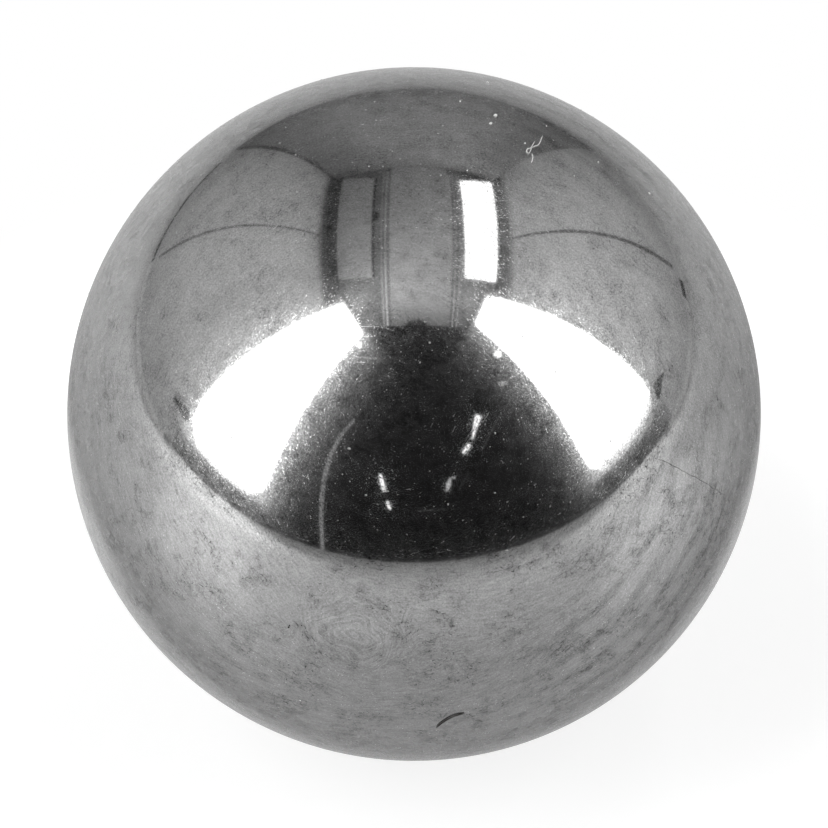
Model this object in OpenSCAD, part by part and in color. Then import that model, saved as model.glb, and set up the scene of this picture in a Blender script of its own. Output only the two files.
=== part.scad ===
// Steel ball: one solid sphere, ground and polished all over, with no flat, hole or seam.
// Millimetres, +Z up, with the origin at the centre of the ball.

/* [Ball] */
// Diameter of the ball
ball_d = 25; // [3:0.5:100]

/* [Hidden] */
// Colour of the bare polished steel
steel_grey = [0.74, 0.74, 0.74];
// Facets round the ball's equator where it is drawn as a mesh
ball_facets = 128;

// The whole ball, a true sphere
module ball() {
    color(steel_grey)
        sphere(d = ball_d, $fn = ball_facets);
}

ball();
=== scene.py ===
"""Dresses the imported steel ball: a mirror polished sphere with fine scratches, smudges and wipe marks, and
with the hair, lint and dust that lie on it, standing in a small light booth that it mirrors."""

import math

import bmesh
import bpy
import numpy as np
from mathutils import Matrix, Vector, noise


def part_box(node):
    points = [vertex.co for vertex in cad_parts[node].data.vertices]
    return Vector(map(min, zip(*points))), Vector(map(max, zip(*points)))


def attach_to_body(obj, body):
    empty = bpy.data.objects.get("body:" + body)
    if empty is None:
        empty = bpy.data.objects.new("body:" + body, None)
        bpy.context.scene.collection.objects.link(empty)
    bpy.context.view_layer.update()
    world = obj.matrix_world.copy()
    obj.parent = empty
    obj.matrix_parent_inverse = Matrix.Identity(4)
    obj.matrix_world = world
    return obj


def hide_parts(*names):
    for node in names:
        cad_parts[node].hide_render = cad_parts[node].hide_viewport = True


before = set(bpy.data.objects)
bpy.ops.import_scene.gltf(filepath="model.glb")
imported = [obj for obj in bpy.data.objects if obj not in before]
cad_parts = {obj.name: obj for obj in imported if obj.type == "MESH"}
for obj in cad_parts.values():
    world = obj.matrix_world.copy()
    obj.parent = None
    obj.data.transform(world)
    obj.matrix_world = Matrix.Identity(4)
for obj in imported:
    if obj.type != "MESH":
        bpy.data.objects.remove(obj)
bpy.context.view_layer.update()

bl_info = {
    "name": "Polished Steel Ball",
    "version": (1, 0, 0),
    "blender": (4, 5, 0),
    "location": "View3D > Sidebar > Steel Ball",
    "description": "Finishes a steel ball with scratches, lint and dust, and stands it in a light booth",
    "category": "Object",
}

BODY = "root"
BALL_NODE = "ball"
BALL_LOW, BALL_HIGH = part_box(BALL_NODE)
BALL_R = max(BALL_HIGH - BALL_LOW) / 2
MM = 0.001

# The photograph's frame, and where the ball's outline lies in it, in pixels
PHOTO_SIZE = 828
PHOTO_BALL_CENTRE = (413.8, 413.5)
PHOTO_BALL_R = 346.9
SENSOR_WIDTH_MM = 36.0


def length_prop(name, description, default):
    """A setting for a length."""
    return bpy.props.FloatProperty(
        name=name, description=description, default=default, subtype="DISTANCE", unit="LENGTH")


def amount_prop(name, description, default, **limits):
    """A setting for an amount that can't be below 0."""
    return bpy.props.FloatProperty(name=name, description=description, default=default, min=0.0, **limits)


def colour_prop(name, description, default):
    """A setting for a colour."""
    return bpy.props.FloatVectorProperty(
        name=name, description=description, default=default, subtype="COLOR", min=0.0, max=1.0)


class PhotoView(bpy.types.PropertyGroup):
    """Where the camera stands."""

    elevation: bpy.props.FloatProperty(
        name="Elevation", description="Camera's height above the horizon", default=math.radians(47.0),
        subtype="ANGLE", unit="ROTATION")
    distance: length_prop("Distance", "From the ball's centre to the camera", 15.0 * BALL_R)


class SteelFinish(bpy.types.PropertyGroup):
    """The polished metal and the marks in it."""

    colour: colour_prop("Steel", "Reflectance of the bare steel", (0.60, 0.60, 0.60))
    roughness: amount_prop("Polish", "Roughness between the scratches", 0.05, max=1.0)
    haze: amount_prop("Haze", "How much light the fine scratches scatter", 0.80, max=1.0)
    grain: amount_prop("Grain", "How much the finest grain changes the brightness", 1.25, max=2.0)
    smears: amount_prop("Smears", "How much the cloudy smears change the brightness", 0.11, max=1.0)
    bands: amount_prop("Wipe Bands", "How much the wipe bands darken the steel", 0.30, max=1.0)
    segments: bpy.props.IntProperty(
        name="Segments", description="Faces along each quarter of the ball's girth", default=96,
        min=8, max=180)


class DirtSizes(bpy.types.PropertyGroup):
    """The hair, lint and dust that lie on the ball."""

    hair_thickness: length_prop("Hair", "Thickness of the dark hair", 0.075 * MM)
    lint_thickness: length_prop("Lint", "Thickness of a pale fibre", 0.034 * MM)
    dust_size: length_prop("Dust", "Radius of a common grain of dust", 0.020 * MM)
    dust_spread: amount_prop("Dust Spread", "Grains on each square millimetre", 4.0)
    dust_seed: bpy.props.IntProperty(name="Dust Seed", description="Picks where the grains lie", default=7)
    hair_colour: colour_prop("Hair Colour", "Colour of the hair and the dark specks", (0.018, 0.016, 0.014))
    lint_colour: colour_prop("Lint Colour", "Colour of the lint and the pale specks", (0.82, 0.82, 0.81))
    dust_colour: colour_prop("Dust Colour", "Colour of the dust", (0.40, 0.40, 0.39))


class BoothSizes(bpy.types.PropertyGroup):
    """The light booth, measured from the ball's centre."""

    half_width: length_prop("Half Width", "From the ball to each side wall", 250 * MM)
    back: length_prop("Back", "From the ball to the back wall", 512 * MM)
    height: length_prop("Height", "From the ball up to the ceiling", 525 * MM)
    ceiling_front: length_prop("Ceiling Front", "How far the ceiling comes forward of the ball", 137 * MM)
    side_front: length_prop("Side Front", "How far the side walls come forward of the ball", 60 * MM)
    panel_distance: length_prop("Panel Distance", "From the ball to each upright light panel", 200 * MM)
    panel_light: amount_prop("Panel Light", "Brightness of the light panels, where 1 is white", 4.6)
    strip_light: amount_prop("Strip Light", "Brightness of the lit strip in the ceiling", 2.4)
    floor_colour: colour_prop("Floor", "Colour of the pale floor", (0.455, 0.455, 0.455))
    wall_colour: colour_prop("Side Walls", "Colour of the side walls", (0.84, 0.84, 0.84))
    back_colour: colour_prop("Back Wall", "Colour of the back wall", (0.45, 0.45, 0.45))
    ceiling_colour: colour_prop("Ceiling", "Colour of the ceiling", (0.57, 0.57, 0.57))
    dark_light: amount_prop("Dark Room", "Brightness of the unlit room in front of the booth", 0.008)


# Camera geometry


def view_axes(view):
    """The camera's place, and its forward, right and up directions."""
    back = Vector((0.0, -math.cos(view.elevation), math.sin(view.elevation)))
    right = Vector((1.0, 0.0, 0.0))
    return back * view.distance, -back, right, back.cross(right)


def pixel_slope(view):
    """The slope off the camera's axis that one pixel of the photograph stands for."""
    return math.tan(math.asin(BALL_R / view.distance)) / PHOTO_BALL_R


def on_ball(view, pixel, lift=0.0):
    """The point, raised by lift, where the ball shows at a pixel, and the direction it is seen along."""
    eye, forward, right, up = view_axes(view)
    slope = pixel_slope(view)
    across = (pixel[0] - PHOTO_BALL_CENTRE[0]) * slope
    down = (pixel[1] - PHOTO_BALL_CENTRE[1]) * slope
    sight = (forward + right * across - up * down).normalized()
    towards = -eye.dot(sight)
    reach = towards ** 2 - eye.length_squared + (BALL_R + lift) ** 2
    return eye + sight * (towards - math.sqrt(max(reach, 0.0))), sight


def mirrored_at(view, pixel, distance):
    """The place, at a distance from the ball, that the ball mirrors at a pixel."""
    point, sight = on_ball(view, pixel)
    normal = point.normalized()
    return point + (sight - normal * 2 * sight.dot(normal)) * distance


# Node building


class Graph:
    """Adds nodes to one tree and joins them."""

    def __init__(self, tree):
        self.tree = tree

    def put(self, socket, value):
        """Links a socket to another, or sets its value."""
        if isinstance(value, bpy.types.NodeSocket):
            self.tree.links.new(value, socket)
        elif value is not None:
            socket.default_value = value

    def add(self, kind, inputs=None, **settings):
        """A node with its settings, and its inputs by name or number."""
        node = self.tree.nodes.new(kind)
        for name, value in settings.items():
            setattr(node, name, value)
        for key, value in (inputs or {}).items():
            self.put(node.inputs[key], value)
        return node

    def math(self, operation, a, b=None, c=None, clamp=False):
        """The result of a sum on numbers."""
        node = self.add("ShaderNodeMath", {0: a, 1: b, 2: c}, operation=operation, use_clamp=clamp)
        return node.outputs[0]

    def vector(self, operation, a, b=None, scale=None):
        """The result of a sum on vectors, a number or a vector."""
        node = self.add("ShaderNodeVectorMath", {0: a, 1: b, 3: scale}, operation=operation)
        return node.outputs["Value" if operation in ("DOT_PRODUCT", "LENGTH", "DISTANCE") else "Vector"]

    def fade(self, value, start, end, low=0.0, high=1.0):
        """Goes smoothly from low at start to high at end."""
        node = self.add("ShaderNodeMapRange", {
            "Value": value, "From Min": start, "From Max": end, "To Min": low, "To Max": high},
            interpolation_type="SMOOTHSTEP")
        return node.outputs["Result"]

    def noise(self, position, size, detail=3.0, roughness=0.5):
        """Fractal noise whose coarsest blots are about size across."""
        return self.add("ShaderNodeTexNoise", {"Vector": position, "Scale": 1.0 / size, "Detail": detail,
                                               "Roughness": roughness})

    def place(self):
        """The place on the object, in the object's own coordinates."""
        return self.add("ShaderNodeTexCoord").outputs["Object"]

    def axes(self, vector):
        """The X, Y and Z of a vector."""
        return self.add("ShaderNodeSeparateXYZ", {"Vector": vector}).outputs

    def fill(self, group, inputs):
        """The outputs of a node group with its inputs set."""
        return self.add("ShaderNodeGroup", inputs, node_tree=group).outputs


def new_group(name, inputs, outputs, kind="ShaderNodeTree"):
    """An empty node group with named sockets: its graph, its inputs and its output node."""
    tree = bpy.data.node_groups.new(name, kind)
    for label, socket in inputs:
        tree.interface.new_socket(label, in_out="INPUT", socket_type=socket)
    for label, socket in outputs:
        tree.interface.new_socket(label, in_out="OUTPUT", socket_type=socket)
    graph = Graph(tree)
    return graph, graph.add("NodeGroupInput").outputs, graph.add("NodeGroupOutput").inputs


def new_material(name):
    """An empty node material: the material, its graph and its surface socket."""
    material = bpy.data.materials.new(name)
    material.use_nodes = True
    material.node_tree.nodes.clear()
    graph = Graph(material.node_tree)
    return material, graph, graph.add("ShaderNodeOutputMaterial").inputs["Surface"]


# Shader groups for the marks in the steel


def cell_frame(graph, given):
    """Splits the space into cells, each with its own direction on the surface: the place across and along the
    cell's marks, and the cell's random colour and place."""
    cells = graph.add("ShaderNodeTexVoronoi", {"Vector": given["Position"],
                                               "Scale": graph.math("DIVIDE", 1.0, given["Spacing"])}).outputs
    turn = graph.vector("SUBTRACT", cells["Color"], (0.5, 0.5, 0.5))
    aim = graph.add("ShaderNodeMix", {"Factor": given["Stray"], 4: given["Wipe"], 5: turn},
                    data_type="VECTOR")
    side = graph.vector("NORMALIZE", graph.vector("CROSS_PRODUCT", given["Normal"], aim.outputs[1]))
    along = graph.vector("CROSS_PRODUCT", side, given["Normal"])
    offset = graph.vector("SUBTRACT", given["Position"], cells["Position"])
    across = graph.math("DIVIDE", graph.vector("DOT_PRODUCT", offset, side), given["Width"])
    reach = graph.math("DIVIDE", graph.vector("DOT_PRODUCT", offset, along), given["Length"])
    return across, reach, cells


CELL_INPUTS = [("Position", "NodeSocketVector"), ("Normal", "NodeSocketVector"), ("Wipe", "NodeSocketVector"),
               ("Spacing", "NodeSocketFloat"), ("Width", "NodeSocketFloat"), ("Length", "NodeSocketFloat"),
               ("Stray", "NodeSocketFloat")]


def brushed_group():
    """Fine streaks in small patches that each run their own way."""
    graph, given, out = new_group("Brushed Patches", CELL_INPUTS, [("Tone", "NodeSocketFloat")])
    across, reach, cells = cell_frame(graph, given)
    patch = graph.add("ShaderNodeSeparateColor", {"Color": cells["Color"]}).outputs["Red"]
    apart = graph.math("MULTIPLY", patch, 90.0)
    local = graph.add("ShaderNodeCombineXYZ", {"X": across, "Y": reach, "Z": apart})
    streaks = graph.noise(local.outputs[0], 1.0, 1.0).outputs["Fac"]
    graph.put(out["Tone"], graph.math("MULTIPLY_ADD", streaks, 4.0, -2.0))
    return graph.tree


def hairline_group():
    """Single straight scratches, one in some of the cells, each with its own tone and roughness."""
    graph, given, out = new_group("Hairline Scratches", [
        *CELL_INPUTS, ("Share", "NodeSocketFloat"), ("Darkest", "NodeSocketFloat"),
        ("Lightest", "NodeSocketFloat"), ("Rarity", "NodeSocketFloat")],
        [("Tone", "NodeSocketFloat"), ("Scuff", "NodeSocketFloat")])
    across, reach, cells = cell_frame(graph, given)
    chance = graph.add("ShaderNodeTexWhiteNoise", {"Vector": cells["Position"]}).outputs
    groove = graph.fade(graph.math("ABSOLUTE", across), 1.0, 0.0)
    ends = graph.fade(graph.math("ABSOLUTE", reach), 1.0, 0.4)
    chosen = graph.math("LESS_THAN", chance["Value"], given["Share"])
    mask = graph.math("MULTIPLY", graph.math("MULTIPLY", groove, ends), chosen)
    random = graph.add("ShaderNodeSeparateColor", {"Color": chance["Color"]}).outputs
    tone = graph.add("ShaderNodeMix", {"Factor": random["Red"], 2: given["Darkest"], 3: given["Lightest"]})
    graph.put(out["Tone"], graph.math("MULTIPLY", tone.outputs[0], mask))
    rough = graph.math("POWER", random["Green"], given["Rarity"])
    graph.put(out["Scuff"], graph.math("MULTIPLY", rough, mask))
    return graph.tree


# The ball was last wiped round this axis, so most of its marks run round it
WIPE_AXIS = Vector((0.0, -0.68, 0.73))
# The direction of the side with the least grain
CLEANEST = Vector((0.0, -0.37, 0.93))
# The middle of a small swirl of wipe marks, as a pixel of the photograph
SWIRL_MIDDLE = (355, 636)
# Where the wipe bands are plainest, as pixel and radius in millimetres
BAND_PATCHES = (((655, 590), 7.5), ((585, 125), 5.0))
# The angle from the wiping axis at which one wipe band is darkest, and the angle from one band to the next
BAND_START = math.radians(47.5)
BAND_STEP = math.radians(5.6)

# Scratches that can be told apart, as start pixel, end pixel, half width in millimetres and darkness
LONG_SCRATCHES = (
    ((649, 454), (726, 496), 0.026, 0.65),
    ((101, 532), (106, 546), 0.040, 0.35),
    ((89, 377), (90, 366), 0.035, 0.45),
    ((410.5, 709.2), (416.5, 707.4), 0.040, 0.55),
    ((669, 592), (679, 580), 0.030, 0.25),
    ((408, 590), (427, 601), 0.022, 0.22),
    ((271, 606), (284, 623), 0.018, -0.20),
    ((309, 618), (323, 629), 0.018, -0.22),
    ((327, 630), (333, 614), 0.018, -0.20),
    ((361, 595), (373, 602), 0.024, 0.25),
    ((349, 617), (363, 619), 0.024, 0.22),
    ((375, 631), (389, 635), 0.028, 0.25),
    ((411, 108), (419, 111), 0.020, 0.35),
)
# Spots that can be told apart, as pixel, radius in millimetres and darkness
SPOTS = (
    ((250.0, 578.0), 0.085, 0.40),
    ((225.5, 584.0), 0.070, 0.35),
    ((400.5, 611.5), 0.065, 0.60),
    ((279.8, 637.8), 0.055, 0.55),
    ((666.0, 620.0), 0.065, 0.50),
    ((609.0, 658.0), 0.060, 0.45),
    ((77.0, 343.0), 0.065, 0.45),
    ((133.0, 337.0), 0.060, 0.40),
    ((652.0, 194.5), 0.065, 0.60),
)

# Sizes in millimetres of the noise for smears, smudges, grain and wisps
CLOUD_SIZE = 1.5
VEIL_SIZE = 0.5
GRAIN_SIZE = 0.060
WISP_SIZE = 0.55
# The coat that scatters light as the fine scratches do
HAZE_ROUGHNESS = 0.29
HAZE_IOR = 2.0
# Brushed streaks: patch, width and length in millimetres, and how far they stray from the wipe
STREAKS = (1.10, 0.080, 0.50, 0.25)
STREAK_TONE = 0.16
# Hairlines: spacing, half width and half length in millimetres, stray, share of the cells that have one,
# darkest and lightest tone, roughness and how rare the roughest ones are. Dashes lie in clusters, and glitter
# changes the tone only in the patches where the lights are mirrored, where it is partly painted glints.
HAIRLINES = {
    "dots": (0.13, 0.018, 0.024, 1.00, 0.60, -0.06, 0.06, 0.40, 4.0),
    "glitter": (0.11, 0.026, 0.055, 0.60, 0.80, -0.55, 0.85, 0.21, 1.0),
    "short": (0.50, 0.018, 0.26, 0.55, 0.75, -0.34, 0.26, 0.26, 3.0),
    "long": (1.40, 0.018, 0.90, 0.40, 0.75, -0.26, 0.30, 0.20, 2.0),
    "dashes": (0.26, 0.026, 0.085, 0.80, 0.75, -0.90, -0.05, 0.00, 1.0),
}
# Patches where the glitter is plainest, as pixel and radius in millimetres: they lie where the lights are
# mirrored, so their glitter is partly scuffing and partly painted glints
GLINT_SCUFF_PATCHES = (
    ((180.0, 412.0), 1.3),
    ((205.0, 455.0), 1.6),
    ((245.0, 495.0), 1.6),
    ((290.0, 525.0), 2.2),
    ((645.0, 440.0), 1.6),
    ((620.0, 475.0), 1.6),
    ((585.0, 510.0), 1.8),
    ((300.0, 440.0), 2.4),
    ((555.0, 400.0), 2.0),
    ((345.0, 292.0), 1.7),
    ((478.0, 305.0), 1.7),
    ((490.0, 172.0), 1.4),
    ((508.0, 255.0), 1.5),
    ((452.0, 215.0), 1.5),
)


def from_pixel(graph, view, position, pixel):
    """How far a place is from the point that shows at a pixel."""
    return graph.vector("DISTANCE", position, on_ball(view, pixel)[0])


def wipe_direction(graph, view, position):
    """The way that the last wipe went, round the wiping axis and round one small swirl."""
    swirl_axis = on_ball(view, SWIRL_MIDDLE)[0]
    round_axis = graph.vector("NORMALIZE", graph.vector("CROSS_PRODUCT", WIPE_AXIS, position))
    round_swirl = graph.vector("NORMALIZE", graph.vector("CROSS_PRODUCT", swirl_axis.normalized(), position))
    near = graph.fade(graph.vector("DISTANCE", position, swirl_axis), 2.6 * MM, 1.2 * MM, 0.0, 3.0)
    wander = graph.vector("SUBTRACT", graph.noise(position, 5 * MM, 2.0).outputs["Color"], (0.5, 0.5, 0.5))
    way = graph.vector("ADD", round_axis, graph.vector("SCALE", wander, scale=2.2))
    return graph.vector("ADD", way, graph.vector("SCALE", round_swirl, scale=near))


def wipe_bands(graph, view, position, normal):
    """Faint uneven bands that run round the wiping axis, from 0 to 1 where they are darkest."""
    polar = graph.math("ARCCOSINE", graph.vector("DOT_PRODUCT", normal, WIPE_AXIS))
    waver = graph.math("SUBTRACT", graph.noise(position, 3 * MM, 3.0).outputs["Fac"], 0.5)
    turns = graph.math("MULTIPLY_ADD", polar, math.tau / BAND_STEP, -math.tau * BAND_START / BAND_STEP)
    stripe = graph.math("COSINE", graph.math("MULTIPLY_ADD", waver, 6.0, turns))
    broken = graph.fade(graph.noise(position, 1.1 * MM, 3.0, 0.65).outputs["Fac"], 0.36, 0.58, 0.45, 1.0)
    band = graph.math("MULTIPLY", graph.fade(stripe, -0.2, 1.0), broken)
    strength = 0.20
    for middle, wide in BAND_PATCHES:
        distance = from_pixel(graph, view, position, middle)
        plain = graph.fade(distance, wide * MM, 0.4 * wide * MM, 0.0, 0.75)
        strength = graph.math("ADD", plain, strength)
    rim = graph.fade(polar, 0.55, 0.95)
    return graph.math("MULTIPLY", graph.math("MULTIPLY", band, rim), strength)


def swirl_arcs(graph, view, position, normal):
    """Faint arcs round the middle of the small swirl, lighter and darker than the steel."""
    distance = from_pixel(graph, view, position, SWIRL_MIDDLE)
    bent = graph.math("MULTIPLY_ADD", graph.noise(position, 1.6 * MM, 1.0).outputs["Fac"], 2.2 * MM, distance)
    across = graph.add("ShaderNodeCombineXYZ", {"X": graph.math("DIVIDE", bent, 0.07 * MM)}).outputs[0]
    place = graph.vector("ADD", graph.vector("SCALE", normal, scale=14.0), across)
    arcs = graph.fade(graph.noise(place, 1.0, 1.0).outputs["Fac"], 0.40, 0.66, -0.10, 0.13)
    return graph.math("MULTIPLY", arcs, graph.fade(distance, 2.6 * MM, 1.0 * MM))


def glint_and_scuff_share(graph, view, position):
    """How plain the glitter is, up to 1 in the middle of each patch: partly scuffing, partly painted glints
    where the lights are mirrored.
    """
    glint_and_scuff = 0.0
    for pixel, size in GLINT_SCUFF_PATCHES:
        distance = from_pixel(graph, view, position, pixel)
        glint_and_scuff = graph.math("MAXIMUM", graph.fade(distance, size * MM, 0.4 * size * MM), glint_and_scuff)
    return glint_and_scuff


def mark_inputs(here, spacing, width, length, stray):
    """What every layer of marks takes in, with the sizes given in millimetres."""
    return {**here, "Spacing": spacing * MM, "Width": width * MM, "Length": length * MM, "Stray": stray}


def single_marks(graph, view, position, waver, shade):
    """The shade with the long scratches, which waver a little, and the spots added."""
    for start, end, width, darkness in LONG_SCRATCHES:
        first, last = on_ball(view, start)[0], on_ball(view, end)[0]
        half = (last - first).length / 2
        off_line = graph.vector("DOT_PRODUCT", position, first.cross(last).normalized())
        off_line = graph.math("ABSOLUTE", graph.math("ADD", off_line, waver))
        groove = graph.fade(off_line, width * MM, 0.0)
        from_middle = graph.vector("DISTANCE", position, (first + last) / 2)
        depth = graph.fade(from_middle, half, 0.7 * half, 0.0, -darkness)
        shade = graph.math("MULTIPLY_ADD", groove, depth, shade)
    for pixel, size, darkness in SPOTS:
        distance = from_pixel(graph, view, position, pixel)
        shade = graph.math("ADD", graph.fade(distance, size * MM, 0.0, 0.0, -darkness), shade)
    return shade


def steel_material(view, finish):
    """Mirror polished steel, with grain, smudges, scratches and wipe bands set by the place on the ball."""
    material, graph, surface = new_material("polished_steel")
    position = graph.place()
    normal = graph.vector("NORMALIZE", position)
    here = {"Position": position, "Normal": normal, "Wipe": wipe_direction(graph, view, position)}
    clouds = graph.noise(position, CLOUD_SIZE * MM, 4.0, 0.62).outputs["Fac"]
    veil = graph.noise(position, VEIL_SIZE * MM, 4.0, 0.7).outputs["Fac"]
    fine = graph.math("SUBTRACT", graph.noise(position, GRAIN_SIZE * MM, 1.0).outputs["Fac"], 0.5)
    wander = graph.math("SUBTRACT", graph.noise(position, WISP_SIZE * MM, 1.2).outputs["Fac"], 0.5)
    height = graph.vector("DOT_PRODUCT", normal, (0.0, 0.0, 1.0))
    lower = graph.fade(height, 0.75, 0.25, 0.55, 1.0)

    # Brightness against bare steel, from smears and grain
    smear = graph.math("MULTIPLY_ADD", clouds, 4.0, -2.0)
    shade = graph.math("MULTIPLY_ADD", smear, finish.smears, 1.0)
    on_top = graph.vector("DOT_PRODUCT", normal, CLEANEST)
    grain = graph.math("MINIMUM", graph.fade(height, 0.75, 0.25, finish.grain, 0.8 * finish.grain),
                       graph.fade(on_top, 0.985, 0.94, 0.6 * finish.grain, finish.grain))
    shade = graph.math("MULTIPLY_ADD", fine, grain, shade)
    shade = graph.math("MULTIPLY_ADD", graph.math("SUBTRACT", veil, 0.5), 0.32, shade)

    # Dark smudges and thin wisps, most of them on the lower half
    smudge = graph.math("MULTIPLY", graph.fade(veil, 0.50, 0.38), graph.fade(clouds, 0.56, 0.44, 0.0, -0.20))
    shade = graph.math("MULTIPLY_ADD", smudge, lower, shade)
    wisp = graph.math("MULTIPLY", graph.fade(graph.math("ABSOLUTE", wander), 0.018, 0.0),
                      graph.fade(clouds, 0.60, 0.42, 0.04, -0.26))
    shade = graph.math("MULTIPLY_ADD", wisp, lower, shade)

    # Haze, and streaks that change the haze and the brightness
    haze = graph.fade(veil, 0.32, 0.72, 0.5 * finish.haze, 1.4 * finish.haze)
    haze = graph.math("MULTIPLY", haze, graph.math("MULTIPLY_ADD", fine, 2.5, 1.0))
    streaks = graph.fill(brushed_group(), mark_inputs(here, *STREAKS))["Tone"]
    shade = graph.math("MULTIPLY_ADD", graph.math("MULTIPLY", streaks, STREAK_TONE), lower, shade)
    haze = graph.math("MULTIPLY_ADD", streaks, 1.2 * STREAK_TONE, haze)

    # Hairlines, which change the brightness and the roughness
    worn = graph.math("MULTIPLY", graph.fade(clouds, 0.60, 0.40, 0.5, 1.4), lower)
    cluster = graph.math("MULTIPLY", graph.fade(clouds, 0.50, 0.38), lower)
    # The glitter shows only in the patches where the lights are mirrored, partly as painted glints
    amounts = {"glitter": glint_and_scuff_share(graph, view, position), "dashes": cluster}
    clumps = graph.fade(veil, 0.35, 0.65, 0.4, 1.2)
    roughness = finish.roughness
    hairlines = hairline_group()
    for name, (*sizes, share, darkest, lightest, rough, rarity) in HAIRLINES.items():
        layer = graph.fill(hairlines, {
            **mark_inputs(here, *sizes), "Share": share, "Darkest": darkest, "Lightest": lightest,
            "Rarity": rarity})
        shade = graph.math("MULTIPLY_ADD", layer["Tone"], amounts.get(name, worn), shade)
        if rough:
            scuff = graph.math("MULTIPLY", layer["Scuff"], clumps)
            roughness = graph.math("MULTIPLY_ADD", scuff, rough, roughness)

    shade = graph.math("ADD", shade, swirl_arcs(graph, view, position, normal))
    shade = single_marks(graph, view, position, graph.math("MULTIPLY", wander, 0.12 * MM), shade)
    shade = graph.math("MULTIPLY_ADD", wipe_bands(graph, view, position, normal), -finish.bands, shade)
    steel = graph.add("ShaderNodeMix", {"Factor": 1.0, 6: finish.colour[:] + (1.0,), 7: shade},
                      data_type="RGBA", blend_type="MULTIPLY")
    shader = graph.add("ShaderNodeBsdfPrincipled", {
        "Base Color": steel.outputs[2], "Metallic": 1.0, "Roughness": roughness,
        "Coat Weight": graph.math("ADD", haze, 0.0, clamp=True), "Coat Roughness": HAZE_ROUGHNESS,
        "Coat IOR": HAZE_IOR})
    graph.put(surface, shader.outputs[0])
    return material


def fibre_material(name, colour, roughness):
    """Matt fibre or dust, with its colour a little uneven."""
    material, graph, surface = new_material(name)
    position = graph.place()
    uneven = graph.noise(position, 0.08 * MM, 2.0).outputs["Fac"]
    tint = graph.add("ShaderNodeMix", {"Factor": uneven, 6: tuple(0.7 * c for c in colour) + (1.0,),
                                       7: colour[:] + (1.0,)}, data_type="RGBA")
    shader = graph.add("ShaderNodeBsdfPrincipled", {"Base Color": tint.outputs[2], "Roughness": roughness})
    graph.put(surface, shader.outputs[0])
    return material


# Geometry Nodes


def geometry_group(name, inputs):
    """An empty geometry tree that takes a mesh, some named sizes and a material."""
    sockets = [("Geometry", "NodeSocketGeometry"), *inputs, ("Material", "NodeSocketMaterial")]
    return new_group(name, sockets, [("Geometry", "NodeSocketGeometry")], "GeometryNodeTree")


def finish_tree(graph, given, out, geometry):
    """Realizes instances, shades smooth, sets the material and ends the tree."""
    real = graph.add("GeometryNodeRealizeInstances", {"Geometry": geometry}).outputs[0]
    smooth = graph.add("GeometryNodeSetShadeSmooth", {"Geometry": real}).outputs[0]
    painted = graph.add("GeometryNodeSetMaterial", {"Geometry": smooth, "Material": given["Material"]})
    graph.put(out["Geometry"], painted.outputs[0])
    return graph.tree


def ball_tree():
    """A ball made from a cut up cube, with each point pushed out to the radius."""
    graph, given, out = geometry_group("Round Ball", [
        ("Radius", "NodeSocketFloat"), ("Points", "NodeSocketInt")])
    points = given["Points"]
    cube = graph.add("GeometryNodeMeshCube", {
        "Size": (2.0, 2.0, 2.0), "Vertices X": points, "Vertices Y": points, "Vertices Z": points})
    at = graph.add("GeometryNodeInputPosition").outputs[0]
    even = graph.vector("TANGENT", graph.vector("SCALE", at, scale=math.pi / 4))
    round_at = graph.vector("SCALE", graph.vector("NORMALIZE", even), scale=given["Radius"])
    moved = graph.add("GeometryNodeSetPosition", {"Geometry": cube.outputs["Mesh"], "Position": round_at})
    return finish_tree(graph, given, out, moved.outputs[0])


def strand_tree():
    """Round fibres, thinner towards their ends, along the edges of the mesh that comes in."""
    graph, given, out = geometry_group("Loose Fibres", [("Radius", "NodeSocketFloat")])
    curve = graph.add("GeometryNodeMeshToCurve", {"Mesh": given["Geometry"]}).outputs[0]
    bent = graph.add("GeometryNodeCurveSplineType", {"Curve": curve}, spline_type="CATMULL_ROM").outputs[0]
    fine = graph.add("GeometryNodeResampleCurve", {"Curve": bent, "Count": 40}).outputs[0]
    place = graph.add("GeometryNodeSplineParameter").outputs["Factor"]
    from_end = graph.math("SUBTRACT", 0.5, graph.math("ABSOLUTE", graph.math("SUBTRACT", place, 0.5)))
    taper = graph.fade(from_end, 0.0, 0.18, 0.35, 1.0)
    profile = graph.add("GeometryNodeCurvePrimitiveCircle", {"Resolution": 8, "Radius": given["Radius"]})
    tube = graph.add("GeometryNodeCurveToMesh", {
        "Curve": fine, "Profile Curve": profile.outputs[0], "Scale": taper, "Fill Caps": True})
    return finish_tree(graph, given, out, tube.outputs[0])


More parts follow.
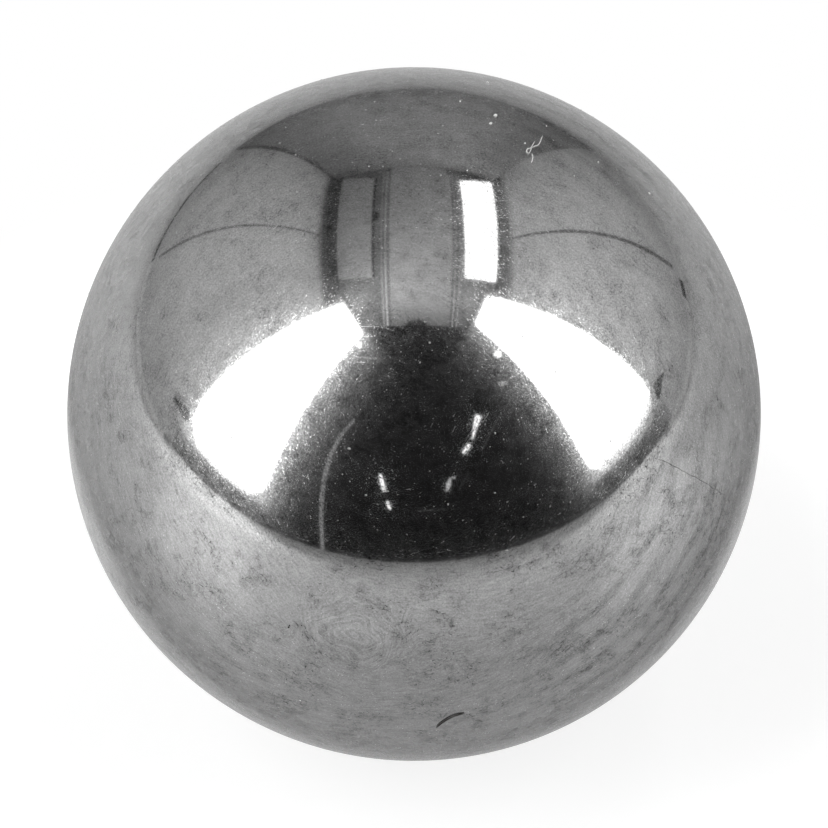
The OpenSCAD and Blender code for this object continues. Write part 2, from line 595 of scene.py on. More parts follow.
def grain_tree():
    """Small uneven grains scattered over a ball, most on top, flattened towards its surface."""
    graph, given, out = geometry_group("Scattered Grains", [
        ("Radius", "NodeSocketFloat"), ("Size", "NodeSocketFloat"), ("Density", "NodeSocketFloat"),
        ("Seed", "NodeSocketInt")])
    ball = graph.add("GeometryNodeMeshIcoSphere", {"Radius": given["Radius"], "Subdivisions": 5})
    ball = ball.outputs["Mesh"]
    normal = graph.add("GeometryNodeInputNormal").outputs[0]
    upward = graph.fade(graph.vector("DOT_PRODUCT", normal, (0.0, 0.0, 1.0)), -0.2, 0.6, 0.1, 1.0)
    density = graph.math("MULTIPLY", given["Density"], upward)
    points = graph.add("GeometryNodeDistributePointsOnFaces", {
        "Mesh": ball, "Density": density, "Seed": given["Seed"]})
    chance = graph.add("FunctionNodeRandomValue", {"Seed": given["Seed"]}).outputs[1]
    large = graph.math("MULTIPLY_ADD", graph.math("POWER", chance, 6.0), 1.8, 0.7)
    spread = graph.add("FunctionNodeRandomValue", {
        0: (0.6, 0.6, 0.3), 1: (1.5, 1.1, 0.7), "Seed": given["Seed"]}, data_type="FLOAT_VECTOR").outputs[0]
    size = graph.vector("SCALE", spread, scale=graph.math("MULTIPLY", large, given["Size"]))
    grain = graph.add("GeometryNodeMeshIcoSphere", {"Radius": 1.0, "Subdivisions": 1}).outputs["Mesh"]
    grains = graph.add("GeometryNodeInstanceOnPoints", {
        "Points": points.outputs["Points"], "Instance": grain, "Rotation": points.outputs["Rotation"],
        "Scale": size})
    return finish_tree(graph, given, out, grains.outputs[0])


def grow(name, tree, sizes, material, start=None):
    """A plain mesh object made by a geometry tree from a starting mesh."""
    piece = bpy.data.objects.new(name, start or bpy.data.meshes.new(name))
    bpy.context.scene.collection.objects.link(piece)
    modifier = piece.modifiers.new(tree.name, "NODES")
    modifier.node_group = tree
    known = {s.name: s.identifier for s in tree.interface.items_tree if s.in_out == "INPUT"}
    for label, value in {**sizes, "Material": material}.items():
        modifier[known[label]] = value
    seen = piece.evaluated_get(bpy.context.evaluated_depsgraph_get())
    piece.data = bpy.data.meshes.new_from_object(seen)
    piece.modifiers.clear()
    piece.data.name = name
    if not piece.data.polygons:
        raise RuntimeError(f"{name} came out empty")
    return piece


def attach(piece, slot, *nodes):
    """Lets a piece ride on the ball's body, and hides any plain parts that it stands for; the slot is not
    used.
    """
    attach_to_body(piece, BODY)
    if nodes:
        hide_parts(*nodes)


def cube_map(mesh):
    """Lays the six sides of the ball side by side in one map, three by two."""
    corners = np.array([v.co for v in mesh.vertices]) / BALL_R
    layer = mesh.uv_layers.new(name="OFBake")
    gap = 0.006
    for face in mesh.polygons:
        axis = max(range(3), key=lambda i: abs(face.center[i]))
        low = face.center[axis] < 0
        first, second = [i for i in range(3) if i != axis]
        for corner in face.loop_indices:
            at = corners[mesh.loops[corner].vertex_index]
            flat = [math.atan2(at[i], abs(at[axis])) / (math.pi / 2) + 0.5 for i in (first, second)]
            u = (axis + gap + flat[0] * (1 - 2 * gap)) / 3
            v = (low + gap + flat[1] * (1 - 2 * gap)) / 2
            layer.uv[corner].vector = (u, v)


# Routes of the fibres in the photograph's pixels, each point with its height in fibre widths
HAIR_ROUTE = ((436.4, 727.2, -0.2), (440.0, 723.6, -0.2), (447.0, 718.8, -0.2), (452.5, 716.0, -0.2),
              (458.0, 714.2, -0.2), (464.3, 712.9, -0.2))
LINT_ROUTES = (
    ((542.3, 135.2, 0.5), (540.5, 140.0, 0.5), (538.3, 144.0, 0.3), (534.5, 145.6, 0.2), (531.5, 147.2, 0.0)),
    ((534.6, 140.8, 0.5), (532.6, 144.0, 0.4), (530.6, 147.4, 0.3), (527.4, 148.2, 0.2), (526.2, 151.5, 0.0)),
    ((531.4, 146.8, 0.2), (530.2, 150.4, 0.4), (528.2, 152.6, 0.2), (526.4, 150.0, 0.3), (528.8, 147.6, 0.4)),
    ((531.6, 152.6, 0.0), (532.6, 157.0, 0.1), (531.0, 162.5, 0.0)),
)
# Specks, as a pixel and a radius in millimetres
PALE_SPECKS = ((495.2, 115.0, 0.066), (490.6, 123.0, 0.052), (487.4, 82.0, 0.038), (649.0, 193.0, 0.045),
               (524.8, 142.8, 0.030), (546.3, 125.5, 0.024), (460.0, 100.8, 0.032), (598.0, 161.6, 0.032),
               (467.0, 170.0, 0.026), (574.0, 175.5, 0.022), (300.0, 700.0, 0.020))
DARK_SPECKS = ((288.4, 626.9, 0.034), (289.2, 625.2, 0.030), (301.3, 625.0, 0.024))


def route_mesh(view, name, routes, thickness):
    """A mesh of open chains of edges along routes that lie on the ball."""
    points, edges = [], []
    for route in routes:
        for step, (x, y, height) in enumerate(route):
            if step:
                edges.append((len(points) - 1, len(points)))
            points.append(on_ball(view, (x, y), thickness * (0.5 + height))[0])
    mesh = bpy.data.meshes.new(name)
    mesh.from_pydata(points, edges, [])
    return mesh


class STEELBALL_OT_polish(bpy.types.Operator):
    """Makes the polished ball, which stands for the plain one"""

    bl_idname = "steelball.polish"
    bl_label = "Polished Ball"

    def execute(self, context):
        scene = context.scene
        steel = steel_material(scene.photo_view, scene.steel_finish)
        sizes = {"Radius": BALL_R, "Points": scene.steel_finish.segments + 1}
        ball = grow("polished_ball", ball_tree(), sizes, steel)
        cube_map(ball.data)
        attach(ball, "steel", BALL_NODE)
        return {"FINISHED"}


class STEELBALL_OT_fibres(bpy.types.Operator):
    """Lays the dark hair and the tuft of lint on the ball"""

    bl_idname = "steelball.fibres"
    bl_label = "Hair And Lint"

    def execute(self, context):
        view, dirt = context.scene.photo_view, context.scene.dirt_sizes
        tree = strand_tree()
        hair = fibre_material("dark_hair", dirt.hair_colour, 0.45)
        lint = fibre_material("pale_lint", dirt.lint_colour, 0.9)
        for name, routes, thickness, material, slot in (
                ("dark_hair", (HAIR_ROUTE,), dirt.hair_thickness, hair, "hair"),
                ("lint_tuft", LINT_ROUTES, dirt.lint_thickness, lint, "lint")):
            start = route_mesh(view, name + "_route", routes, thickness)
            attach(grow(name, tree, {"Radius": thickness / 2}, material, start), slot)
        return {"FINISHED"}


def speck_mesh(view, name, places):
    """A mesh of small uneven lumps, each half sunk where it lies on the ball."""
    lumps = bmesh.new()
    for x, y, radius in places:
        centre = on_ball(view, (x, y))[0]
        lump = bmesh.ops.create_icosphere(lumps, subdivisions=2, radius=radius * MM)["verts"]
        for corner in lump:
            corner.co *= 1.0 + 0.45 * noise.noise(corner.co / (0.7 * radius * MM) + centre / MM)
            corner.co += centre
    mesh = bpy.data.meshes.new(name)
    lumps.to_mesh(mesh)
    lumps.free()
    mesh.shade_smooth()
    return mesh


class STEELBALL_OT_specks(bpy.types.Operator):
    """Puts the pale and the dark specks on the ball"""

    bl_idname = "steelball.specks"
    bl_label = "Specks"

    def execute(self, context):
        view, dirt = context.scene.photo_view, context.scene.dirt_sizes
        for name, places, colour, slot in (("pale_specks", PALE_SPECKS, dirt.lint_colour, "lint"),
                                           ("dark_specks", DARK_SPECKS, dirt.hair_colour, "hair")):
            mesh = speck_mesh(view, name, places)
            mesh.materials.append(fibre_material(name, colour, 0.8))
            piece = bpy.data.objects.new(name, mesh)
            context.scene.collection.objects.link(piece)
            attach(piece, slot)
        return {"FINISHED"}


class STEELBALL_OT_dust(bpy.types.Operator):
    """Scatters pale dust over the ball"""

    bl_idname = "steelball.dust"
    bl_label = "Dust"

    def execute(self, context):
        dirt = context.scene.dirt_sizes
        sizes = {"Radius": BALL_R, "Size": dirt.dust_size, "Density": dirt.dust_spread / MM ** 2,
                 "Seed": dirt.dust_seed}
        material = fibre_material("pale_dust", dirt.dust_colour, 0.95)
        attach(grow("dust", grain_tree(), sizes, material), "lint")
        return {"FINISHED"}


# Stage


def board(name, corners, material, faces=None):
    """A flat board of the stage, which the ball mirrors and the camera doesn't see."""
    mesh = bpy.data.meshes.new(name)
    mesh.from_pydata(corners, [], faces or [tuple(range(len(corners)))])
    mesh.materials.append(material)
    piece = bpy.data.objects.new(name, mesh)
    piece.visible_camera = False
    bpy.context.scene.collection.objects.link(piece)
    return piece


def ribbon(view, name, route, distance, material):
    """A narrow board that the ball mirrors along a route of pixels, each with its half width."""
    corners = []
    for number, (x, y, half) in enumerate(route):
        before, after = route[max(number - 1, 0)], route[min(number + 1, len(route) - 1)]
        along = Vector((after[0] - before[0], after[1] - before[1])).normalized()
        for side in (-half, half):
            corners.append(mirrored_at(view, (x - along.y * side, y + along.x * side), distance))
    faces = [(k, k + 1, k + 3, k + 2) for k in range(0, len(corners) - 2, 2)]
    return board(name, corners, material, faces)


def matt_material(name, grey):
    """Plain matt paint."""
    material, graph, surface = new_material(name)
    graph.put(surface, graph.add("ShaderNodeBsdfDiffuse", {"Color": (grey, grey, grey, 1.0)}).outputs[0])
    return material


def glow_material(name, strength, lights=True):
    """An even light, left out of the light sampling where it is too weak to light anything else."""
    material, graph, surface = new_material(name)
    graph.put(surface, graph.add("ShaderNodeEmission", {"Strength": strength}).outputs[0])
    if not lights:
        material.cycles.emission_sampling = "NONE"
    return material


def panel_material(name, strength, start, end):
    """The light of a panel, which gets weaker towards its lower end."""
    material, graph, surface = new_material(name)
    up = graph.axes(graph.place())["Z"]
    share = graph.fade(up, start * MM, end * MM, 0.02 * strength, strength)
    graph.put(surface, graph.add("ShaderNodeEmission", {"Strength": share}).outputs[0])
    return material


def painted_shading_material(name, colour, grades):
    """Matt paint with painted light and shade that change along its axes, by grades of axis, start, end and
    the tone at the end.
    """
    material, graph, surface = new_material(name)
    place = graph.axes(graph.place())
    tone = 1.0
    for axis, start, end, dark in grades:
        tone = graph.math("MULTIPLY", graph.fade(place[axis], start * MM, end * MM, 1.0, dark), tone)
    paint = graph.vector("SCALE", colour[:], scale=tone)
    graph.put(surface, graph.add("ShaderNodeBsdfDiffuse", {"Color": paint}).outputs[0])
    return material


def halo_material(name, panel, strength):
    """A clear pane with a glow round a panel's outline, which falls off with the distance outside it."""
    azimuth, offsets, (foot, high), reaches = panel
    low = foot + HALO_RAISE
    material, graph, surface = new_material(name)
    position = graph.place()
    side = upright_axes(azimuth, 1.0)[1]
    across = graph.vector("DOT_PRODUCT", position, side)
    up = graph.axes(position)["Z"]
    rise = graph.math("DIVIDE", graph.math("SUBTRACT", up, low * MM), (high - low) * MM)
    near = graph.math("MULTIPLY_ADD", up, HALO_GROWTH, HALO_REACH * MM)
    edges = []
    for bottom, top, sign in ((offsets[0], offsets[2], -1.0), (offsets[1], offsets[3], 1.0)):
        edge = graph.math("MULTIPLY_ADD", rise, (top - bottom) * MM, bottom * MM)
        edges.append(graph.math("MULTIPLY", graph.math("SUBTRACT", across, edge), sign))
    edges.append(graph.math("SUBTRACT", low * MM, up))
    edges.append(graph.math("SUBTRACT", up, high * MM))
    spread = 1.0
    for outside, reach in zip(edges, reaches):
        steps = graph.math("DIVIDE", graph.math("MAXIMUM", outside, 0.0), graph.math("MULTIPLY", near, reach))
        spread = graph.math("MULTIPLY_ADD", steps, steps, spread)
    rim = graph.fade(spread, 40.0, 1.0)
    glow = graph.add("ShaderNodeEmission", {
        "Strength": graph.math("MULTIPLY", graph.math("DIVIDE", strength, spread), rim)})
    clear = graph.add("ShaderNodeBsdfTransparent")
    graph.put(surface, graph.add("ShaderNodeAddShader", {0: clear.outputs[0], 1: glow.outputs[0]}).outputs[0])
    material.cycles.emission_sampling = "NONE"
    return material


def painted_floor_light(graph, position, far, front):
    """Painted light that the floor gives off in mirrors: a painted glow below the ball and painted pools of
    light before the light panels.
    """
    y = graph.axes(position)["Y"]
    squeezed = graph.vector("MULTIPLY", position, (0.66, 1.0, 0.0))
    under = graph.vector("DISTANCE", squeezed, (-0.05 * BALL_R, 0.35 * BALL_R, 0.0))
    most = graph.math("MINIMUM", graph.fade(y, -0.4 * BALL_R, 0.5 * BALL_R, 0.23, 0.34),
                      graph.fade(y, 0.6 * BALL_R, 1.3 * BALL_R, 0.34, 0.22))
    glow = graph.fade(under, 1.22 * BALL_R, 0.85 * BALL_R, 0.02, most)
    glow = graph.math("MULTIPLY_ADD", graph.fade(far, 170 * MM, 300 * MM, 0.0, 0.10), front, glow)
    for name, (spill, wide, near) in PAINTED_FLOOR_SPILL.items():
        ahead, side = upright_axes(LIGHT_PANELS[name][0], 1.0)
        out = graph.vector("DOT_PRODUCT", position, ahead)
        across = graph.math("ABSOLUTE", graph.vector("DOT_PRODUCT", position, side))
        pool = graph.fade(out, 95 * MM, 230 * MM, 0.0, spill)
        glow = graph.math("MULTIPLY_ADD", pool, graph.fade(across, wide * MM, 42 * MM), glow)
        patch = graph.math("MINIMUM", graph.fade(out, 20 * MM, 50 * MM, 0.0, near),
                           graph.fade(out, 75 * MM, 130 * MM, near, 0.3 * near))
        glow = graph.math("MULTIPLY_ADD", patch, graph.fade(across, 30 * MM, 8 * MM), glow)
    return glow


def painted_floor_shading(graph, flat, far, front, edge):
    """Painted light and shade in the floor's paint: a painted shade just in front of the ball, and painted
    light behind it, beside it and ahead towards the light panels.
    """
    x, y, _ = graph.axes(flat)
    from_front = graph.vector("DISTANCE", flat, (0.0, -0.6 * BALL_R, 0.0))
    from_back = graph.vector("DISTANCE", flat, (0.0, 2.0 * BALL_R, 0.0))
    tone = graph.fade(from_front, 0.8 * BALL_R, 3.2 * BALL_R, 0.76, 1.0)
    tone = graph.math("MULTIPLY", tone, graph.fade(from_back, 2.2 * BALL_R, 0.9 * BALL_R, 1.0, 1.08))
    tone = graph.math("MULTIPLY", tone, graph.fade(y, 10 * MM, 50 * MM, 1.0, 1.22))
    beside = graph.math("ADD", graph.fade(x, -60 * MM, -180 * MM, 1.0, 1.18),
                        graph.fade(x, 60 * MM, 180 * MM, 0.0, 0.15))
    beside = graph.math("MULTIPLY", beside, graph.fade(x, -60 * MM, 60 * MM, 1.06, 0.85))
    ahead = graph.math("MULTIPLY", graph.fade(far, 90 * MM, 300 * MM, 1.25, 1.6), edge)
    ahead = graph.math("MULTIPLY", ahead, graph.fade(x, 20 * MM, 60 * MM, 1.0, 1.08))
    mixed = graph.add("ShaderNodeMix", {"Factor": front, 2: beside, 3: ahead}).outputs[0]
    return graph.math("MULTIPLY", tone, mixed)


def floor_material(colour):
    """Satin floor that the camera sees as white but for the ball's shadow, and that the ball mirrors with
    painted light and shade in its paint and a painted glow of its own."""
    material, graph, surface = new_material("pale_floor")
    position = graph.place()
    flat = graph.vector("MULTIPLY", position, (1.0, 1.0, 0.0))
    far = graph.vector("LENGTH", flat)
    front = graph.fade(graph.axes(position)["Y"], -20 * MM, -80 * MM)
    edge = graph.fade(far, 480 * MM, 455 * MM, 0.06, 1.0)

    path = graph.add("ShaderNodeLightPath").outputs
    white = graph.math("MULTIPLY", path["Is Camera Ray"], graph.fade(far, 1.4 * BALL_R, 2.2 * BALL_R))
    lit = graph.math("SUBTRACT", 1.0, white)
    # The floor's paint carries painted shade in front of the ball and painted light beside and behind it
    tone = graph.math("MULTIPLY", painted_floor_shading(graph, flat, far, front, edge), lit)
    paint = graph.vector("SCALE", colour[:], scale=tone)
    matt = graph.add("ShaderNodeBsdfPrincipled", {
        "Base Color": paint, "Roughness": 0.45, "Specular IOR Level": graph.math("MULTIPLY", lit, 0.35)})

    mirrored = graph.math("MAXIMUM", path["Is Glossy Ray"], path["Is Transmission Ray"])
    # Painted light: a glow that only mirrors see, standing in for light spilt on the floor and for light
    # below the ball
    painted_floor_glow = graph.math("MULTIPLY", painted_floor_light(graph, position, far, front), edge)
    mirrored = graph.math("MULTIPLY", mirrored, painted_floor_glow)
    lift = graph.fade(far, 1.2 * BALL_R, 2.0 * BALL_R, 0.75, 1.0)
    strength = graph.math("MULTIPLY_ADD", path["Is Camera Ray"], lift, mirrored)
    glow = graph.add("ShaderNodeEmission", {"Strength": strength})
    both = graph.add("ShaderNodeAddShader", {0: matt.outputs[0], 1: glow.outputs[0]})
    graph.put(surface, both.outputs[0])
    material.cycles.emission_sampling = "NONE"
    return material


def white_world():
    """White all round for the camera and for mirrors, and no light of its own."""
    world = bpy.data.worlds.new("white")
    world.use_nodes = True
    world.cycles.sampling_method = "NONE"
    world.node_tree.nodes.clear()
    graph = Graph(world.node_tree)
    path = graph.add("ShaderNodeLightPath").outputs
    seen = graph.math("ADD", path["Is Camera Ray"], path["Is Glossy Ray"])
    strength = graph.math("ADD", seen, path["Is Transmission Ray"], clamp=True)
    sky = graph.add("ShaderNodeBackground", {"Color": (1.0, 1.0, 1.0, 1.0), "Strength": strength})
    graph.put(graph.add("ShaderNodeOutputWorld").inputs["Surface"], sky.outputs[0])
    return world


def upright_axes(azimuth, distance):
    """The middle of an upright panel at the height of the ball's centre, and the direction along it."""
    turn = math.radians(azimuth)
    ahead = Vector((math.sin(turn), math.cos(turn), 0.0))
    side = Vector((math.cos(turn), -math.sin(turn), 0.0))
    return ahead * distance, side


def upright(azimuth, distance, offsets, heights):
    """The corners of an upright panel that faces the ball, from its lower and upper corners' offsets."""
    middle, side = upright_axes(azimuth, distance)
    low_left, low_right, high_left, high_right = (side * (x * MM) + middle for x in offsets)
    low, high = (Vector((0.0, 0.0, z * MM)) for z in heights)
    return [low_left + low, low_right + low, high_right + high, high_left + high]


def level(x_low, x_high, y_low, y_high, z):
    """The corners of a level rectangle."""
    return [(x_low, y_low, z), (x_high, y_low, z), (x_high, y_high, z), (x_low, y_high, z)]


def facing_x(x, y_low, y_high, z_low, z_high):
    """The corners of an upright rectangle that faces along X."""
    return [(x, y_low, z_low), (x, y_high, z_low), (x, y_high, z_high), (x, y_low, z_high)]


def facing_y(x_low, x_high, y, z_low, z_high):
    """The corners of an upright rectangle that faces along Y."""
    return [(x_low, y, z_low), (x_high, y, z_low), (x_high, y, z_high), (x_low, y, z_high)]


def under_ceiling(booth, gap, corners):
    """Corners given in millimetres, as places a gap below the ceiling."""
    return [(x * MM, y * MM, booth.height - gap * MM) for x, y in corners]


def rounded(corners, radii):
    """The outline of a flat polygon with its corners rounded off, each by its own radius."""
    outline = []
    for number, (corner, radius) in enumerate(zip(corners, radii)):
        here = Vector(corner)
        start, end = (here + (Vector(corners[k % len(corners)]) - here).normalized() * radius * MM
                      for k in (number - 1, number + 1))
        for t in (0.0, 0.3, 0.7, 1.0):
            outline.append((1 - t) ** 2 * start + 2 * t * (1 - t) * here + t * t * end)
    return outline


# Upright light panels: azimuth from straight back, offsets and heights of their corners in millimetres, and
# how far their glow reaches out at the left, at the right, below and above
LIGHT_PANELS = {
    "left_light": (-116.0, (-60.0, 56.5, -70.0, 47.0), (19.0, 510.0), (1.2, 0.36, 1.1, 0.8)),
    "right_light": (106.5, (-54.0, 59.5, -39.0, 64.5), (21.5, 504.0), (0.26, 1.05, 1.1, 0.8)),
}
# The panels' share of the light, the glow round them, the heights between which they fade in and the radii of
# their corners in millimetres
PANEL_LIGHTS = {
    "left_light": (1.30, 0.62, (14, 42), (34, 42, 12, 12)),
    "right_light": (0.88, 0.42, (14, 60), (30, 36, 24, 24)),
}
# The glow starts this far above a panel's foot, and fades over this length at the height of the ball's
# centre, both in millimetres, and over this share of the height more further up
HALO_RAISE = 9
HALO_REACH = 9
HALO_GROWTH = 0.040
# The pane that carries the glow: how far it goes past the panel at each side, and its heights
PANE_MARGIN = 190
PANE_HEIGHTS = (-12, 900)
# How far that pane lies before its panel, and the cover behind it
PANE_GAP = 2
COVER_GAP = 3
# Painted light spilt on the floor: its strength before each panel, its half width there in millimetres, and
# the strength of the painted patch of light between the panel and the ball
PAINTED_FLOOR_SPILL = {"left_light": (0.95, 122, 0.0), "right_light": (0.54, 92, 0.12)}
# Where the side walls are cut, in millimetres: the front parts start there and end above the floor
WALL_CUT = -20
WALL_FRONT_FOOT = -5
# Painted light and shade on the walls and the ceiling, darker towards the floor, the top, the back corners
# and the ceiling's front edge, paler in bands at the walls' feet and along the pale lines towards the front:
# axis, start, end and the tone at the end
PAINTED_SHADING = {
    "left_wall": (("Z", 90, -2, 0.82), ("Z", -2, -7, 1.40), ("Z", 450, 506, 0.16)),
    "right_wall": (("Z", 90, -2, 0.74), ("Z", -2, -7, 1.25), ("Z", 240, 430, 0.66), ("Z", 420, 488, 0.18)),
    "back_wall": (("Z", 90, -12, 0.80), ("Z", 440, 520, 0.85), ("X", -90, -220, 0.74), ("X", 90, 220, 0.70)),
    "ceiling": (("Y", -40, -137, 0.50), ("X", 30, 103, 0.84)),
    "frame": (("Y", -40, -137, 0.50),),
    "line": (("Y", 120, -90, 1.45),),
}
# Boards under the ceiling, in millimetres from left to right and from front to back, with their greys
CEILING_BOARDS = {
    "left_frame": (-250, -66, -137, 512, 0.24),
    "right_frame": (103, 250, -137, 512, 0.26),
    "right_gap": (238, 250, 8, 512, 0.08),
    "right_rear_gap": (96, 250, 470, 512, 0.10),
    "left_gap": (-250, -216, -15, 512, 0.09),
    "unlit_strip_edge": (-114, -107, 20, 452, 0.05),
    "left_dark_line": (-96, -91, -137, 490, 0.24),
    "left_pale_line": (-89, -85, -137, 490, 0.44),
    "middle_dark_line": (-84, -81, -137, 490, 0.22),
    "middle_pale_line": (-79, -74, -137, 490, 0.60),
    "inner_dark_line": (-72, -66, -137, 490, 0.26),
    "right_dark_line": (103, 108, -137, 490, 0.20),
    "right_pale_line": (110, 114, -137, 490, 0.36),
    "outer_dark_line": (116, 121, -137, 490, 0.20),
    "outer_pale_line": (123, 127, -137, 490, 0.30),
    "cross_dark_line": (-60, 98, 178, 184, 0.48),
    "cross_pale_line": (-60, 98, 153, 159, 0.60),
}
# Flat marks and strips under the ceiling, as corners in millimetres
CEILING_MARKS = {
    "lid_notch": ((-25, -138), (37, -138), (33, -126), (17, -120), (13, -110), (10, -120), (-14, -123)),
    "tab": ((-106, 222), (-90, 244), (-107, 271)),
}
UNLIT_STRIP = ((-215, 32), (-114, 20), (-116, 452), (-218, 500))
LIT_STRIP = ((139.5, 22), (237, 29), (238, 488), (133, 442))
# Seams and dark edges of the walls: side, front, back, bottom and top in millimetres, with their greys
WALL_BOARDS = {
    "left_seam": (-1, 199, 205, 8, 525, 0.26),
    "right_seam": (1, 182, 190, 8, 525, 0.16),
    "left_front_foot": (-1, -60, -37, -5, 20, 0.10),
    "right_front_foot": (1, -60, -18, -5, 20, 0.10),
    "right_foot_end": (1, -18, 2, -5, 18, 0.32),
    "left_floor_line": (-1, 204, 452, -9, -3, 0.04),
    "right_floor_line": (1, 150, 175, -8, 0, 0.04),
}
# The dark corner of the back wall: left, right and grey
BACK_CORNER = (-250, -240, 0.14)

# Small bright things that the ball mirrors from the dark room: brightness, and a route of pixels with half
# widths
GLINTS = {
    "tall_glint": (1.9, ((379.9, 474.0, 1.3), (381.6, 481.0, 1.9), (384.4, 490.8, 1.6))),
    "low_glint": (1.8, ((386.8, 500.6, 1.0), (388.4, 505.0, 1.7), (390.2, 509.2, 1.0))),
    "wedge_glint": (1.9, ((478.4, 414.6, 3.5), (475.8, 424.0, 2.3), (472.2, 438.8, 0.7))),
    "wedge_tail": (1.8, ((469.8, 443.2, 1.3), (466.4, 448.4, 2.2), (463.0, 452.8, 1.5))),
    "leaf_glint": (0.75, ((450.2, 477.0, 0.8), (448.4, 484.0, 2.4), (446.2, 491.0, 1.1))),
    "leaf_dot": (0.8, ((452.2, 476.8, 1.1), (454.8, 477.4, 1.2))),
    "left_spot": (2.2, ((357.0, 341.0, 2.0), (359.6, 345.0, 2.6), (359.8, 348.0, 1.4))),
    "right_spot": (2.6, ((494.6, 352.4, 2.8), (497.6, 354.0, 4.0), (501.0, 353.6, 2.6))),
    "right_patch": (0.55, ((497.6, 382.6, 1.4), (501.6, 383.4, 2.4), (506.8, 381.8, 1.4))),
    "left_bar": (0.45, ((354.5, 357.3, 0.7), (377.5, 358.0, 0.7))),
    "low_line": (0.07, ((417.2, 510.7, 0.7), (444.6, 508.4, 0.7))),
    "right_line": (0.07, ((500.0, 414.0, 0.8), (491.5, 430.5, 0.8), (481.6, 449.4, 0.8))),
    "right_line_low": (0.05, ((468.6, 472.4, 0.7), (458.6, 489.3, 0.7))),
    "pale_curve": (0.30, (
        (354.0, 420.0, 1.2), (347.0, 427.0, 1.5), (340.5, 435.0, 1.7), (331.0, 453.0, 2.0),
        (324.5, 475.0, 2.2), (321.6, 497.0, 2.2), (321.0, 520.0, 2.0), (322.6, 549.0, 1.6))),
}
GLINT_DISTANCE = 150 * MM
# Dark clips beside the light panels' lower outer corners, as a route of pixels with half widths
CLIPS = {
    "left_clip": ((174.5, 397.0, 0.8), (180.0, 405.5, 2.8), (185.5, 412.0, 4.6), (187.0, 421.0, 2.4)),
    "right_clip": ((663.3, 371.5, 0.5), (659.8, 379.0, 2.6), (657.2, 385.0, 4.4), (658.2, 399.0, 1.6)),
}
CLIP_DISTANCE = 160 * MM


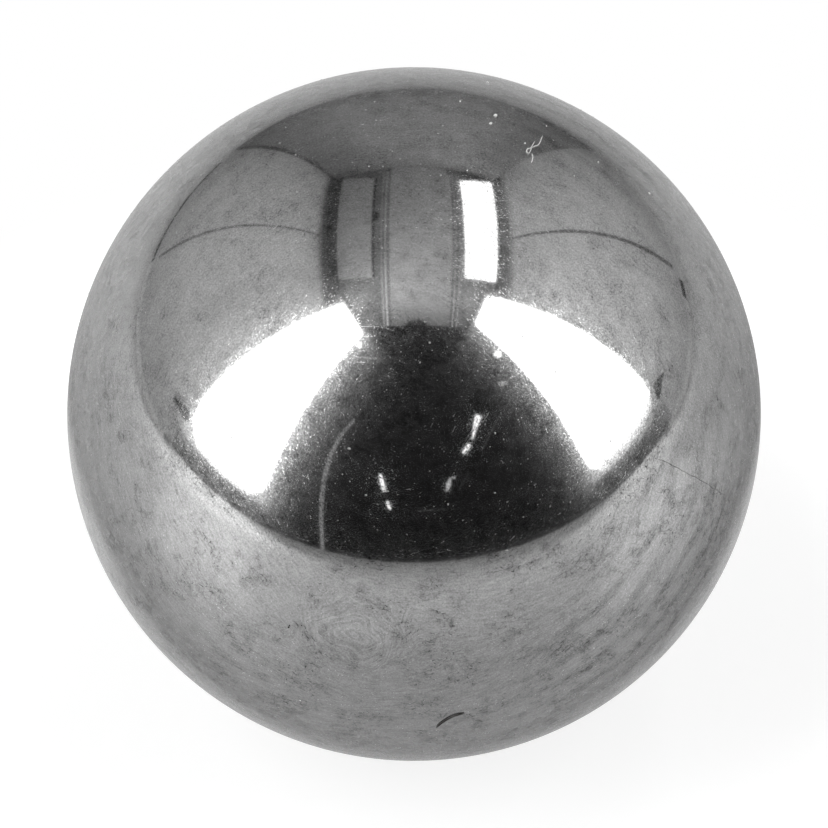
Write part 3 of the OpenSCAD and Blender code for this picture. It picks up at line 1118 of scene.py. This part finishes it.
class STEELBALL_OT_stage(bpy.types.Operator):
    """Builds the light booth, its floor, the white surroundings and the camera"""

    bl_idname = "steelball.stage"
    bl_label = "Booth And Camera"

    def execute(self, context):
        booth, view = context.scene.booth_sizes, context.scene.photo_view
        self.build_shell(booth)
        self.build_lights(booth)
        self.build_lines(booth)
        self.build_glints(view)
        self.add_camera(context.scene, view)
        context.scene.world = white_world()
        context.scene.view_settings.view_transform = "Standard"
        return {"FINISHED"}

    def build_shell(self, booth):
        """Floor, walls, ceiling and the dark room in front."""
        wide, back, high, low = booth.half_width, booth.back, booth.height, -BALL_R
        reach = 4 * high
        floor = board("floor", level(-reach, reach, -reach, reach, low), floor_material(booth.floor_colour))
        floor.visible_camera = True
        colours = {"left_wall": booth.wall_colour, "right_wall": booth.wall_colour,
                   "back_wall": booth.back_colour, "ceiling": booth.ceiling_colour}
        # Walls and ceiling with painted light and shade
        paint = {name: painted_shading_material(name, colour, PAINTED_SHADING[name]) for name, colour in colours.items()}
        cut = WALL_CUT * MM
        for name, x in (("left_wall", -wide), ("right_wall", wide)):
            board(name, facing_x(x, cut, back, low, high), paint[name])
            foot = WALL_FRONT_FOOT * MM
            board(name + "_front", facing_x(x, -booth.side_front, cut, foot, high), paint[name])
        board("back_wall", facing_y(-wide, wide, back, low, high), paint["back_wall"])
        board("ceiling", level(-wide, wide, -booth.ceiling_front, back, high), paint["ceiling"])
        dark = glow_material("dark_room", booth.dark_light, lights=False)
        far = 2 * high
        board("dark_top", level(-far, far, -far, far, far), dark)
        for name, y in (("dark_front", -far), ("dark_back", far)):
            board(name, facing_y(-far, far, y, low, far), dark)
        for name, x in (("dark_left", -far), ("dark_right", far)):
            board(name, facing_x(x, -far, far, low, far), dark)

    def build_lights(self, booth):
        """Two upright light panels with covers and a glow round them, and a lit strip in the ceiling."""
        away = booth.panel_distance
        cover = matt_material("panel_cover", 0.30)
        for name, panel in LIGHT_PANELS.items():
            azimuth, offsets, heights, _ = panel
            share, glow, fades, radii = PANEL_LIGHTS[name]
            outline = rounded(upright(azimuth, away, offsets, heights), radii)
            board(name, outline, panel_material(name, booth.panel_light * share, *fades))
            board(name + "_cover", upright(azimuth, away + COVER_GAP * MM, offsets, heights), cover)
            wide = (offsets[0] - PANE_MARGIN, offsets[1] + PANE_MARGIN) * 2
            pane = upright(azimuth, away - PANE_GAP * MM, wide, PANE_HEIGHTS)
            halo = board(name + "_halo", pane, halo_material(name + "_halo", panel, glow))
            halo.visible_diffuse = False
            halo.visible_shadow = False
        strip = rounded(under_ceiling(booth, 1.0, LIT_STRIP), (8, 8, 8, 8))
        board("lit_strip", strip, glow_material("lit_strip", booth.strip_light))

    def build_lines(self, booth):
        """Boards under the ceiling and on the walls, and the dark corner at the back."""
        under = booth.height - 0.3 * MM
        for layer, (name, (*sides, grey)) in enumerate(CEILING_BOARDS.items()):
            height = under - 0.02 * layer * MM
            # Ceiling boards painted darker towards the front, and pale lines painted paler towards the front:
            # painted shade and light
            grade = PAINTED_SHADING["line" if name.endswith("pale_line") else "frame"]
            board(name, level(*(x * MM for x in sides), height), painted_shading_material(name, (grey,) * 3, grade))
        board("unlit_strip", under_ceiling(booth, 0.7, UNLIT_STRIP), matt_material("unlit_strip", 0.55))
        mark = matt_material("ceiling_mark", 0.05)
        for name, corners in CEILING_MARKS.items():
            board(name, under_ceiling(booth, 0.8, corners), mark)
        for name, (side, *ends, grey) in WALL_BOARDS.items():
            x = side * (booth.half_width - 0.5 * MM)
            board(name, facing_x(x, *(e * MM for e in ends)), matt_material(name, grey))
        left, right, grey = BACK_CORNER
        board("back_corner", facing_y(left * MM, right * MM, booth.back - 0.5 * MM, 0.0, booth.height),
              matt_material("back_corner", grey))

    def build_glints(self, view):
        """Small lights and lines in the dark room, and the clips beside the light panels."""
        for name, (strength, route) in GLINTS.items():
            ribbon(view, name, route, GLINT_DISTANCE, glow_material(name, strength, lights=False))
        clip = matt_material("clip", 0.03)
        for name, route in CLIPS.items():
            ribbon(view, name, route, CLIP_DISTANCE, clip)

    def add_camera(self, scene, view):
        """The camera, with a lens that shows the ball as large as the photograph does."""
        lens = bpy.data.cameras.new("photo_camera")
        lens.sensor_width = SENSOR_WIDTH_MM
        lens.lens = SENSOR_WIDTH_MM / (pixel_slope(view) * PHOTO_SIZE)
        lens.clip_start = 0.1 * BALL_R
        lens.clip_end = 1000 * BALL_R
        camera = bpy.data.objects.new("photo_camera", lens)
        eye, forward = view_axes(view)[:2]
        camera.location = eye
        camera.rotation_mode = "QUATERNION"
        camera.rotation_quaternion = forward.to_track_quat("-Z", "Y")
        scene.collection.objects.link(camera)
        scene.camera = camera


class STEELBALL_PT_sidebar(bpy.types.Panel):
    """Lists the pieces and their sizes in the sidebar"""

    bl_idname = "STEELBALL_PT_sidebar"
    bl_label = "Steel Ball"
    bl_space_type = "VIEW_3D"
    bl_region_type = "UI"
    bl_category = "Steel Ball"

    def draw(self, context):
        for operator in OPERATORS:
            self.layout.operator(operator.bl_idname)
        for name, group in SETTINGS.items():
            box = self.layout.box()
            for label in group.__annotations__:
                box.prop(getattr(context.scene, name), label)


SETTINGS = {"photo_view": PhotoView, "steel_finish": SteelFinish, "dirt_sizes": DirtSizes,
            "booth_sizes": BoothSizes}
OPERATORS = (STEELBALL_OT_polish, STEELBALL_OT_fibres, STEELBALL_OT_specks, STEELBALL_OT_dust,
             STEELBALL_OT_stage)
CLASSES = (*SETTINGS.values(), *OPERATORS, STEELBALL_PT_sidebar)


def register():
    for each in CLASSES:
        bpy.utils.register_class(each)
    for name, group in SETTINGS.items():
        setattr(bpy.types.Scene, name, bpy.props.PointerProperty(type=group))


def unregister():
    for name in SETTINGS:
        delattr(bpy.types.Scene, name)
    for each in reversed(CLASSES):
        bpy.utils.unregister_class(each)


def main():
    """Builds the ball, its dirt and the stage."""
    register()
    bpy.ops.steelball.polish()
    bpy.ops.steelball.fibres()
    bpy.ops.steelball.specks()
    bpy.ops.steelball.dust()
    bpy.ops.steelball.stage()


if __name__ == "__main__":
    main()
